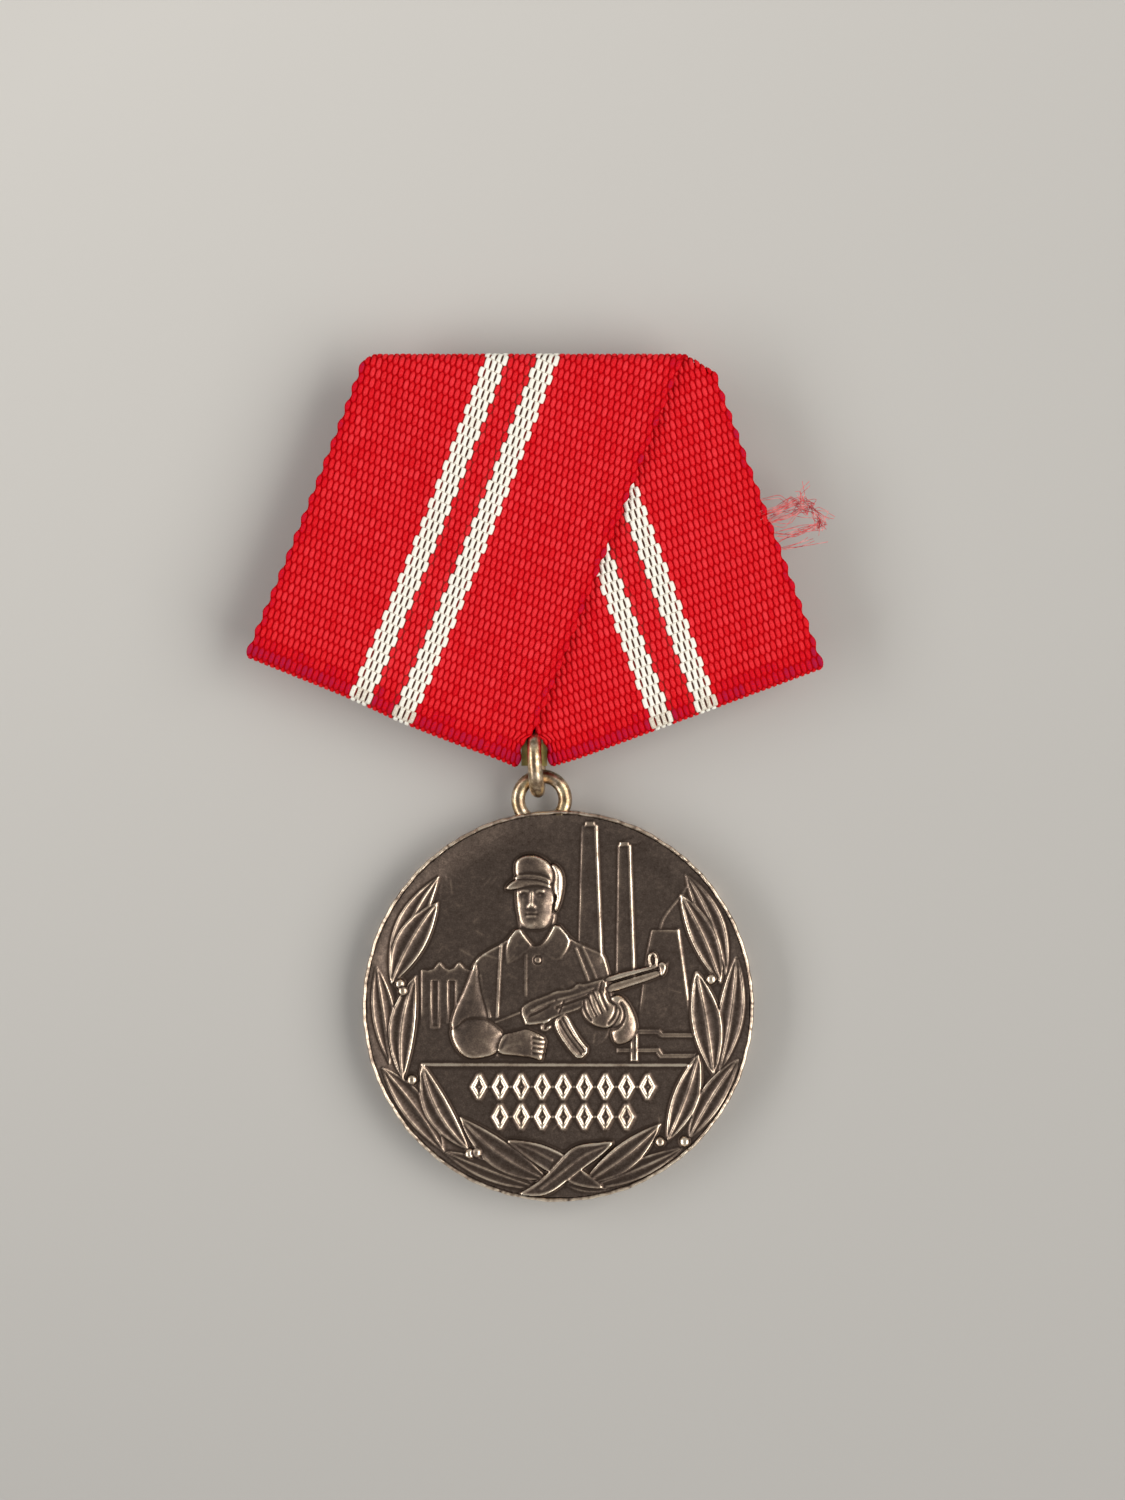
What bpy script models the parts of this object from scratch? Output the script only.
"""Military service medal: a 35 mm disc hung by a split ring from a pentagonal ribbon clasp.

The medal lies on its back, face up.  +Y runs from the disc to the top of the clasp, +Z out of the
face.  The origin is at the middle of the footprint, on the surface that the medal lies on.
Blender units are metres; the dimensions below are in millimetres times MM.
"""
import math

import bmesh
import bpy
from mathutils import Matrix, Vector

MM = 0.001

# ---- driving dimensions -------------------------------------------------------------------
HALF_WIDTH = 25.75 * MM          # half of the clasp's width, corner to corner
HALF_HEIGHT = 38.05 * MM         # half of the whole length, disc and clasp together

DISC_RADIUS = 17.5 * MM
DISC_THICKNESS = 3.0 * MM
DISC_CENTRE = Vector((2.05 * MM, DISC_RADIUS - HALF_HEIGHT))
RIM_WIDTH = 0.8 * MM
FACE_RECESS = 0.7 * MM
BACK_RECESS = 0.25 * MM

RIBBON_WIDTH = 26.6 * MM
RIBBON_THICKNESS = 0.55 * MM
LEFT_LEAN = math.radians(21.7)   # each limb of the ribbon leans away from +Y
RIGHT_LEAN = math.radians(20.3)
LEFT_CORNER = Vector((-HALF_WIDTH, 11.3 * MM))
RIGHT_CORNER = Vector((HALF_WIDTH, 10.5 * MM))
TOP_RIGHT_CLIP = (1.6 * MM, 1.7 * MM)    # off the top right corner, down the side and along the top

SHEET_GAP = 0.05 * MM            # between flat faces that lie on each other
HOLE_GAP = 0.1 * MM              # round a rivet in its hole

BRACKET_SHEET = 0.4 * MM
BACK_PLATE_BOTTOM = 2.9 * MM
BACK_PLATE_THICKNESS = 0.5 * MM
BACK_PLATE_INSET = 3.2 * MM
CARRIER_THICKNESS = 0.6 * MM

RING_X = 0.1 * MM
RING_RADIUS = 2.7 * MM           # to the middle of the wire
RING_WIRE = 0.52 * MM            # radius of the wire
RING_CENTRE = Vector((RING_X, 1.55 * MM, 3.24 * MM))
RING_SPLIT = 0.12 * MM

EYE_RADIUS = 2.12 * MM
EYE_WIRE = 0.54 * MM
EYE_CENTRE = Vector((0.55 * MM, -1.55 * MM, 2.1 * MM))

PIN_CENTRE = Vector((-13.5 * MM, 25.0 * MM, 1.3 * MM))
PIN_LEAN = math.radians(30.0)    # the hinge axle leans up from +Y, so the pin leaves the catch
PIN_RADIUS = 0.45 * MM
PIN_REACH = 29.5 * MM
PIN_POINT = 4.0 * MM

# ---- levels worked out from them ----------------------------------------------------------
BACK_PLATE_TOP = BACK_PLATE_BOTTOM + BACK_PLATE_THICKNESS
RIBBON_BOTTOM = BACK_PLATE_TOP + SHEET_GAP
CARRIER_BOTTOM = RIBBON_BOTTOM + RIBBON_THICKNESS + SHEET_GAP
CARRIER_TOP = CARRIER_BOTTOM + CARRIER_THICKNESS
RIBBON_FRONT = CARRIER_TOP + SHEET_GAP
RIGHT_LIMB_TOP = RIBBON_FRONT + RIBBON_THICKNESS
LEFT_LIMB_TOP = RIGHT_LIMB_TOP + RIBBON_THICKNESS
FLANGE_TOP = BACK_PLATE_BOTTOM - SHEET_GAP
FLANGE_BOTTOM = FLANGE_TOP - BRACKET_SHEET

PARTS = None
CUTTERS = None


# ---- small helpers ------------------------------------------------------------------------
def clear_scene():
    for obj in list(bpy.data.objects):
        bpy.data.objects.remove(obj, do_unlink=True)


def new_collection(name):
    collection = bpy.data.collections.new(name)
    bpy.context.scene.collection.children.link(collection)
    return collection


def material(name, colour, roughness, metallic):
    made = bpy.data.materials.new(name)
    made.use_nodes = True
    shader = made.node_tree.nodes["Principled BSDF"]
    shader.inputs["Base Color"].default_value = (*colour, 1.0)
    shader.inputs["Roughness"].default_value = roughness
    shader.inputs["Metallic"].default_value = metallic
    made.diffuse_color = (*colour, 1.0)
    return made


def place(obj, kind, finish=None):
    """Move an object into the parts or the cutters and give it its material."""
    for collection in list(obj.users_collection):
        collection.objects.unlink(obj)
    (PARTS if kind == "part" else CUTTERS).objects.link(obj)
    if kind == "cutter":
        obj.hide_render = True
        obj.display_type = "WIRE"
    if finish is not None:
        obj.data.materials.clear()
        obj.data.materials.append(finish)
    return obj


def as_mesh(curve_object):
    """Turn a curve object into a welded mesh object of the same name and place."""
    bpy.context.view_layer.update()
    graph = bpy.context.evaluated_depsgraph_get()
    mesh = bpy.data.meshes.new_from_object(curve_object.evaluated_get(graph))
    body = bmesh.new()
    body.from_mesh(mesh)
    bmesh.ops.remove_doubles(body, verts=body.verts, dist=1e-7)
    bmesh.ops.recalc_face_normals(body, faces=body.faces)
    body.to_mesh(mesh)
    body.free()
    name = curve_object.name
    matrix = curve_object.matrix_world.copy()
    bpy.data.objects.remove(curve_object, do_unlink=True)
    made = bpy.data.objects.new(name, mesh)
    made.matrix_world = matrix
    bpy.context.scene.collection.objects.link(made)
    return made


def flat_piece(name, loops, low, high):
    """A flat outline, with any holes as further loops, from z = low to z = high."""
    curve = bpy.data.curves.new(name, "CURVE")
    curve.dimensions = "2D"
    curve.fill_mode = "BOTH"
    curve.extrude = (high - low) / 2
    for loop in loops:
        spline = curve.splines.new("POLY")
        spline.points.add(len(loop) - 1)
        for point, (x, y) in zip(spline.points, loop):
            point.co = (x, y, 0.0, 1.0)
        spline.use_cyclic_u = True
    obj = bpy.data.objects.new(name, curve)
    obj.location.z = (low + high) / 2
    bpy.context.scene.collection.objects.link(obj)
    return as_mesh(obj)


def circle(centre, radius, count=32):
    turn = 2 * math.pi / count
    return [(centre[0] + radius * math.cos(i * turn), centre[1] + radius * math.sin(i * turn))
            for i in range(count)]


def rounded(points, radius, steps=6):
    """The closed outline with every corner turned into an arc of the given radius."""
    made = []
    count = len(points)
    for i in range(count):
        corner = Vector(points[i])
        back = (Vector(points[i - 1]) - corner).normalized()
        ahead = (Vector(points[(i + 1) % count]) - corner).normalized()
        half = back.angle(ahead) / 2
        centre = corner + (back + ahead).normalized() * radius / math.sin(half)
        arm = corner + back * radius / math.tan(half) - centre
        sweep = math.pi - 2 * half
        if back.cross(ahead) > 0:
            sweep = -sweep
        for k in range(steps + 1):
            made.append(tuple(centre + Matrix.Rotation(sweep * k / steps, 2) @ arm))
    return made


def inset(points, distances):
    """Move side i of an anticlockwise outline (point i to i + 1) inwards by distances[i]."""
    lines = []
    count = len(points)
    for i in range(count):
        start = Vector(points[i])
        along = (Vector(points[(i + 1) % count]) - start).normalized()
        inwards = Vector((-along.y, along.x))
        lines.append((start + inwards * distances[i], along))
    made = []
    for i in range(count):
        (p, d), (q, e) = lines[i - 1], lines[i]
        step = (q - p).cross(e) / d.cross(e)
        made.append(tuple(p + d * step))
    return made


def turned(name, profile, matrix, steps=32):
    """A profile of (radius, height) pairs, listed top to bottom, turned about its own z axis."""
    mesh = bpy.data.meshes.new(name)
    edges = [(i, i + 1) for i in range(len(profile) - 1)]
    mesh.from_pydata([(radius, 0.0, height) for radius, height in profile], edges, [])
    obj = bpy.data.objects.new(name, mesh)
    obj.matrix_world = matrix
    bpy.context.scene.collection.objects.link(obj)
    screw = obj.modifiers.new("turn", "SCREW")
    screw.steps = steps
    screw.render_steps = steps
    screw.use_merge_vertices = True
    screw.merge_threshold = 1e-6
    return obj


def torus(name, radius, wire, matrix, around=48, across=12):
    bpy.ops.mesh.primitive_torus_add(major_radius=radius, minor_radius=wire,
                                     major_segments=around, minor_segments=across)
    obj = bpy.context.active_object
    obj.name = name
    obj.matrix_world = matrix
    return obj


def box(name, low, high):
    bpy.ops.mesh.primitive_cube_add(size=1.0)
    obj = bpy.context.active_object
    obj.name = name
    for vertex in obj.data.vertices:
        vertex.co = [low[k] if vertex.co[k] < 0 else high[k] for k in range(3)]
    return obj


def rod(name, radius, low, high, matrix, count=32):
    """A plain round bar from low to high along the z axis of the given frame."""
    bpy.ops.mesh.primitive_cylinder_add(vertices=count, radius=radius, depth=high - low)
    obj = bpy.context.active_object
    obj.name = name
    obj.matrix_world = matrix @ Matrix.Translation((0, 0, (low + high) / 2))
    return obj


def combine(obj, other, operation):
    """Join another body to an object, or cut it away, with an exact Boolean."""
    place(other, "cutter")
    boolean = obj.modifiers.new(operation.lower(), "BOOLEAN")
    boolean.operation = operation
    boolean.solver = "EXACT"
    boolean.object = other


def smooth(obj):
    obj.data.shade_smooth()
    obj.data.set_sharp_from_angle(angle=math.radians(35))


def frame_at(point, x_axis=(1, 0, 0), z_axis=(0, 0, 1)):
    """A placing matrix with its origin at point and its x and z axes as given."""
    across = Vector(x_axis).normalized()
    up = Vector(z_axis).normalized()
    side = up.cross(across)
    matrix = Matrix((across, side, up)).transposed().to_4x4()
    matrix.translation = Vector(point)
    return matrix


# ---- outlines of the clasp ----------------------------------------------------------------
def limb_axes(lean, side):
    """Unit vectors along a limb (upwards) and along its lower fold (outwards)."""
    along = Vector((-side * math.sin(lean), math.cos(lean)))
    outwards = Vector((side * math.cos(lean), math.sin(lean)))
    return along, outwards


LEFT_ALONG, LEFT_OUT = limb_axes(LEFT_LEAN, -1)
RIGHT_ALONG, RIGHT_OUT = limb_axes(RIGHT_LEAN, 1)
LEFT_FOOT = LEFT_CORNER - LEFT_OUT * RIBBON_WIDTH
RIGHT_FOOT = RIGHT_CORNER - RIGHT_OUT * RIBBON_WIDTH


def reach_height(start, along, height):
    """The point where a line from start along the given direction gets to a height."""
    return start + along * (height - start.y) / along.y


def clasp_outline():
    """Anticlockwise: left foot, right foot, right corner, top right, top left, left corner."""
    top_right = reach_height(RIGHT_CORNER, RIGHT_ALONG, HALF_HEIGHT)
    top_left = reach_height(LEFT_CORNER, LEFT_ALONG, HALF_HEIGHT)
    return [LEFT_FOOT, RIGHT_FOOT, RIGHT_CORNER, top_right, top_left, LEFT_CORNER]


def clip_corner(outline, index, before, after):
    """Cut corner index off an outline, this far from it along the sides before and after."""
    corner = Vector(outline[index])
    back = (Vector(outline[index - 1]) - corner).normalized()
    ahead = (Vector(outline[(index + 1) % len(outline)]) - corner).normalized()
    return outline[:index] + [corner + back * before, corner + ahead * after] + outline[index + 1:]


def left_limb_outline():
    top_right = reach_height(LEFT_FOOT, LEFT_ALONG, HALF_HEIGHT)
    top_left = reach_height(LEFT_CORNER, LEFT_ALONG, HALF_HEIGHT)
    return [LEFT_FOOT, top_right, top_left, LEFT_CORNER]


def tip_opening():
    """The arch at the tip, between the two limbs, that the ring hangs through."""
    arch_radius = 0.95 * MM
    arch_height = 4.05 * MM
    foot = -2.0 * MM
    arch = [(RING_X + arch_radius * math.cos(a * math.pi / 10),
             arch_height + arch_radius * math.sin(a * math.pi / 10)) for a in range(11)]
    return [(RING_X - 2.75 * MM, foot), (RING_X + 1.6 * MM, foot)] + arch


# ---- the medal ----------------------------------------------------------------------------
def build_medal_disc(bronze):
    top = DISC_THICKNESS
    field = DISC_THICKNESS - FACE_RECESS
    inner = DISC_RADIUS - RIM_WIDTH
    chamfer = 0.15 * MM
    profile = [(0.0, field), (inner - FACE_RECESS / 2, field), (inner, top),
               (DISC_RADIUS - chamfer, top), (DISC_RADIUS, top - chamfer),
               (DISC_RADIUS, chamfer), (DISC_RADIUS - chamfer, 0.0), (inner, 0.0),
               (inner - BACK_RECESS, BACK_RECESS), (0.0, BACK_RECESS)]
    disc = turned("medal_disc", profile, frame_at((*DISC_CENTRE, 0.0)), steps=96)
    smooth(disc)
    return place(disc, "part", bronze)


def build_medal_eye(bronze):
    """A wire ring whose foot is cut to the disc's edge, where it is soldered."""
    eye = torus("medal_eye", EYE_RADIUS, EYE_WIRE, frame_at(EYE_CENTRE))
    edge = rod("disc_edge_cutter", DISC_RADIUS + HOLE_GAP, -MM, DISC_THICKNESS + MM,
               frame_at((*DISC_CENTRE, 0.0)), count=256)
    combine(eye, edge, "DIFFERENCE")
    smooth(eye)
    return place(eye, "part", bronze)


def build_suspension_ring(bronze):
    """A round wire ring, bent shut, with its split at the back."""
    matrix = frame_at(RING_CENTRE, x_axis=(0, 1, 0), z_axis=(1, 0, 0))
    ring = torus("suspension_ring", RING_RADIUS, RING_WIRE, matrix)
    reach = RING_RADIUS + 2 * RING_WIRE
    middle = RING_CENTRE.y + 0.9 * MM
    split = box("split_cutter", (RING_X - MM, middle - RING_SPLIT / 2, RING_CENTRE.z - reach),
                (RING_X + MM, middle + RING_SPLIT / 2, RING_CENTRE.z - MM))
    combine(ring, split, "DIFFERENCE")
    smooth(ring)
    return place(ring, "part", bronze)


# ---- the clasp ----------------------------------------------------------------------------
PLATE_RIVET_SPOTS = [(-9.0 * MM, 15.0 * MM), (9.0 * MM, 15.0 * MM), (0.0, 32.0 * MM)]
PLATE_RIVET_SHANK = 0.6 * MM
BRACKET_RIVET_SPOTS = [(-13.5 * MM, 22.2 * MM), (-13.5 * MM, 26.9 * MM)]
CATCH_RIVET_SPOTS = [(13.2 * MM, 22.3 * MM), (15.2 * MM, 22.3 * MM)]
SMALL_RIVET_SHANK = 0.4 * MM


def build_carrier_plate(brass):
    """The stiff plate inside the ribbon, with a holed tongue at the tip for the ring."""
    edge = RIBBON_THICKNESS + SHEET_GAP
    side = 0.8 * MM
    outline = inset(clasp_outline(), [edge, edge, side, edge, side, edge])
    outline = clip_corner(outline, 3, *TOP_RIGHT_CLIP)
    tongue_left, tongue_right = RING_X - 1.35 * MM, RING_X + 0.95 * MM
    tongue_end = 1.1 * MM
    shoulder = 3.0 * MM
    tongue = [(tongue_left, shoulder), (tongue_left, tongue_end),
              (tongue_right, tongue_end), (tongue_right, shoulder)]
    rest = rounded(outline[2:], 0.8 * MM)
    hole = circle((RING_X, 4.0 * MM), 0.95 * MM)
    holes = [circle(spot, PLATE_RIVET_SHANK + HOLE_GAP, 24) for spot in PLATE_RIVET_SPOTS]
    loops = [tongue + rest, hole] + holes
    plate = flat_piece("carrier_plate", loops, CARRIER_BOTTOM, CARRIER_TOP)
    return place(plate, "part", brass)


def carrier_pocket():
    """What the ribbon leaves free for the carrier plate: open at both slanting sides."""
    edge = RIBBON_THICKNESS
    outside = -2.0 * MM
    pocket = inset(clasp_outline(), [edge, edge, outside, edge, outside, edge])
    return flat_piece("carrier_pocket", [pocket], CARRIER_BOTTOM - SHEET_GAP,
                      CARRIER_TOP + SHEET_GAP)


def build_ribbon(fabric):
    """Two crossing limbs folded round the carrier plate, the left one on top."""
    outline = rounded(clip_corner(clasp_outline(), 3, *TOP_RIGHT_CLIP), 0.4 * MM)
    ribbon = flat_piece("ribbon", [outline], RIBBON_BOTTOM, RIGHT_LIMB_TOP)
    limb = inset(left_limb_outline(), [0.0, 0.2 * MM, 0.2 * MM, 0.4 * MM])
    layer = flat_piece("left_limb_layer", [limb], RIGHT_LIMB_TOP - RIBBON_THICKNESS / 2,
                       LEFT_LIMB_TOP)
    combine(ribbon, layer, "UNION")
    combine(ribbon, carrier_pocket(), "DIFFERENCE")
    opening = flat_piece("tip_cutter", [tip_opening()], RIBBON_BOTTOM - MM, LEFT_LIMB_TOP + MM)
    combine(ribbon, opening, "DIFFERENCE")
    for number, spot in enumerate(PLATE_RIVET_SPOTS):
        hole = rod(f"ribbon_hole_cutter_{number}", PLATE_RIVET_SHANK + HOLE_GAP,
                   RIBBON_BOTTOM - MM, CARRIER_BOTTOM, frame_at((*spot, 0.0)), count=24)
        combine(ribbon, hole, "DIFFERENCE")
    return place(ribbon, "part", fabric)


def build_back_plate(aluminium):
    """The stiff cover behind the ribbon, which carries the brooch pin."""
    outline = inset(clasp_outline(), [BACK_PLATE_INSET] * 6)
    tip_height = 6.2 * MM
    left_tip = reach_height(Vector(outline[0]), -LEFT_OUT, tip_height)
    right_tip = reach_height(Vector(outline[1]), RIGHT_OUT, tip_height)
    pentagon = [left_tip, right_tip] + [Vector(point) for point in outline[2:]]
    holes = [circle(spot, PLATE_RIVET_SHANK + HOLE_GAP, 24) for spot in PLATE_RIVET_SPOTS]
    holes += [circle(spot, SMALL_RIVET_SHANK + HOLE_GAP, 24)
              for spot in BRACKET_RIVET_SPOTS + CATCH_RIVET_SPOTS]
    loops = [rounded(pentagon, 0.8 * MM)] + holes
    plate = flat_piece("back_plate", loops, BACK_PLATE_BOTTOM, BACK_PLATE_TOP)
    return place(plate, "part", aluminium)


def build_rivet(name, spot, shank, head, head_top, head_height, top, finish):
    """A round-headed rivet, head down, its shank flush with the far plate."""
    crown = 0.7 * head
    profile = [(0.0, top), (shank, top), (shank, head_top), (head, head_top),
               (head, head_top - head_height / 2), (crown, head_top - head_height),
               (0.0, head_top - head_height)]
    rivet = turned(name, profile, frame_at((*spot, 0.0)), steps=20)
    smooth(rivet)
    return place(rivet, "part", finish)


def build_rivets(aluminium, steel):
    for number, spot in enumerate(PLATE_RIVET_SPOTS, start=1):
        build_rivet(f"plate_rivet_{number}", spot, PLATE_RIVET_SHANK, 1.1 * MM,
                    BACK_PLATE_BOTTOM - SHEET_GAP, 0.4 * MM, CARRIER_TOP - SHEET_GAP, aluminium)
    small = [("bracket_rivet", BRACKET_RIVET_SPOTS), ("catch_rivet", CATCH_RIVET_SPOTS)]
    for label, spots in small:
        for number, spot in enumerate(spots, start=1):
            build_rivet(f"{label}_{number}", spot, SMALL_RIVET_SHANK, 0.65 * MM,
                        FLANGE_BOTTOM - SHEET_GAP, 0.35 * MM, BACK_PLATE_TOP - SHEET_GAP, steel)


# ---- the brooch pin -----------------------------------------------------------------------
PIN_AXIS = Vector((0.0, math.cos(PIN_LEAN), math.sin(PIN_LEAN)))
PIN_HEAD_RADIUS = 1.0 * MM
PIN_HEAD_HALF = 0.35 * MM
EAR_INNER = PIN_HEAD_HALF + SHEET_GAP
EAR_OUTER = EAR_INNER + BRACKET_SHEET
AXLE_RADIUS = 0.4 * MM
RUNNING_GAP = 0.05 * MM


def hinge_frame():
    """The frame of the hinge: z along the axle, x along the pin."""
    return frame_at(PIN_CENTRE, x_axis=(1, 0, 0), z_axis=PIN_AXIS)


def build_hinge_bracket(steel):
    """A riveted flange with two ears bent down from it, one on each side of the pin's head."""
    x, y = PIN_CENTRE.x, PIN_CENTRE.y
    flange_outline = rounded([(x - 1.9 * MM, y - 3.8 * MM), (x + 1.9 * MM, y - 3.8 * MM),
                              (x + 1.9 * MM, y + 2.9 * MM), (x - 1.9 * MM, y + 2.9 * MM)], 0.7 * MM)
    holes = [circle(spot, SMALL_RIVET_SHANK + HOLE_GAP, 24) for spot in BRACKET_RIVET_SPOTS]
    bracket = flat_piece("hinge_bracket", [flange_outline] + holes, FLANGE_BOTTOM, FLANGE_TOP)
    radius = PIN_HEAD_RADIUS
    reach = 3.2 * MM
    round_end = [(radius * math.cos(math.pi * a / 12), radius * math.sin(math.pi * a / 12))
                 for a in range(13)]
    ear_outline = [(-radius, -reach), (radius, -reach)] + round_end
    trim = box("ear_trim", (x - 4 * MM, y - 8 * MM, FLANGE_BOTTOM + BRACKET_SHEET / 2),
               (x + 4 * MM, y + 8 * MM, 3 * BACK_PLATE_TOP))
    for label, low, high in (("upper", EAR_INNER, EAR_OUTER), ("lower", -EAR_OUTER, -EAR_INNER)):
        ear = flat_piece(f"{label}_ear", [ear_outline], low, high)
        ear.matrix_world = hinge_frame() @ ear.matrix_world
        combine(ear, trim, "DIFFERENCE")
        combine(bracket, ear, "UNION")
    bore = rod("bracket_bore", AXLE_RADIUS + RUNNING_GAP, -2 * MM, 2 * MM, hinge_frame())
    combine(bracket, bore, "DIFFERENCE")
    return place(bracket, "part", steel)


def build_hinge_axle(steel):
    """A pin through both ears, with a peened head outside each."""
    head, inner, outer = 0.6 * MM, EAR_OUTER + SHEET_GAP, EAR_OUTER + 0.3 * MM
    profile = [(0.0, outer), (head, outer), (head, inner), (AXLE_RADIUS, inner),
               (AXLE_RADIUS, -inner), (head, -inner), (head, -outer), (0.0, -outer)]
    axle = turned("hinge_axle", profile, hinge_frame(), steps=24)
    smooth(axle)
    return place(axle, "part", steel)


def build_needle(steel):
    """The brooch pin: a pointed wire with a flat holed head on the axle."""
    along = frame_at(PIN_CENTRE, x_axis=(0, 1, 0), z_axis=(1, 0, 0))
    tip, shoulder, start = PIN_REACH, PIN_REACH - PIN_POINT, 0.6 * MM
    profile = [(0.0, tip), (0.12 * MM, tip - 0.1 * MM), (PIN_RADIUS, shoulder),
               (PIN_RADIUS, start), (0.0, start)]
    needle = turned("needle", profile, along, steps=16)
    head = rod("needle_head", PIN_HEAD_RADIUS, -PIN_HEAD_HALF, PIN_HEAD_HALF, hinge_frame())
    combine(needle, head, "UNION")
    bore = rod("needle_bore", AXLE_RADIUS + RUNNING_GAP, -2 * MM, 2 * MM, hinge_frame())
    combine(needle, bore, "DIFFERENCE")
    smooth(needle)
    return place(needle, "part", steel)


def build_catch(steel):
    """A strap bent into a hook: its lip reaches under the near half of the pin."""
    y = PIN_CENTRE.y
    low, sheet = 0.03 * MM, 0.5 * MM
    leg_out, leg_in = y - 0.65 * MM - sheet, y - 0.65 * MM
    lip_end, flange_end = y - 0.21 * MM, y - 4.0 * MM
    profile = [(flange_end, FLANGE_TOP), (flange_end, FLANGE_BOTTOM), (leg_out, FLANGE_BOTTOM),
               (leg_out, low + 0.25 * MM), (leg_out + 0.25 * MM, low), (lip_end, low),
               (lip_end, low + sheet), (leg_in, low + sheet), (leg_in, FLANGE_TOP)]
    half_width = 1.9 * MM
    catch = flat_piece("catch_hook", [profile], -half_width, half_width)
    middle = sum(spot[0] for spot in CATCH_RIVET_SPOTS) / len(CATCH_RIVET_SPOTS)
    catch.matrix_world = frame_at((middle, 0, 0), x_axis=(0, 1, 0), z_axis=(1, 0, 0))
    for number, spot in enumerate(CATCH_RIVET_SPOTS):
        hole = rod(f"catch_hole_cutter_{number}", SMALL_RIVET_SHANK + HOLE_GAP, FLANGE_BOTTOM - MM,
                   FLANGE_TOP + MM, frame_at((*spot, 0.0)), count=24)
        combine(catch, hole, "DIFFERENCE")
    return place(catch, "part", steel)


# ---- the whole medal ----------------------------------------------------------------------
def hang_on_joint(name, centre, children):
    """An empty on a joint's axis, with the pieces that turn about it as its children."""
    empty = bpy.data.objects.new(name, None)
    empty.location = centre
    empty.empty_display_size = 2 * MM
    PARTS.objects.link(empty)
    bpy.context.view_layer.update()
    for child in children:
        matrix = child.matrix_world.copy()
        child.parent = empty
        child.matrix_world = matrix
    return empty


def build_all():
    bronze = material("patinated_bronze", (0.085, 0.065, 0.048), 0.42, 0.9)
    wire = material("worn_gilt_wire", (0.45, 0.38, 0.25), 0.33, 1.0)
    brass = material("brass_sheet", (0.62, 0.48, 0.2), 0.35, 1.0)
    fabric = material("red_ribbon", (0.72, 0.01, 0.02), 0.7, 0.0)
    aluminium = material("aluminium_sheet", (0.6, 0.6, 0.58), 0.4, 1.0)
    steel = material("steel_wire", (0.5, 0.5, 0.5), 0.3, 1.0)

    disc = build_medal_disc(bronze)
    eye = build_medal_eye(wire)
    ring = build_suspension_ring(wire)
    build_carrier_plate(brass)
    build_ribbon(fabric)
    build_back_plate(aluminium)
    build_rivets(aluminium, steel)
    build_hinge_bracket(steel)
    build_hinge_axle(steel)
    needle = build_needle(steel)
    build_catch(steel)

    # The medal swings on the ring where the wire passes through the eye.
    drop = RING_CENTRE.z - EYE_CENTRE.z
    swing_y = RING_CENTRE.y - math.sqrt(RING_RADIUS ** 2 - drop ** 2)
    swing = hang_on_joint("medal_swing_axis", (RING_X, swing_y, EYE_CENTRE.z), [disc, eye])
    hang_on_joint("ring_turn_axis", RING_CENTRE, [ring, swing])
    hang_on_joint("needle_hinge_axis", PIN_CENTRE, [needle])


clear_scene()
PARTS = new_collection("military_service_medal")
CUTTERS = new_collection("cutters")
build_all()
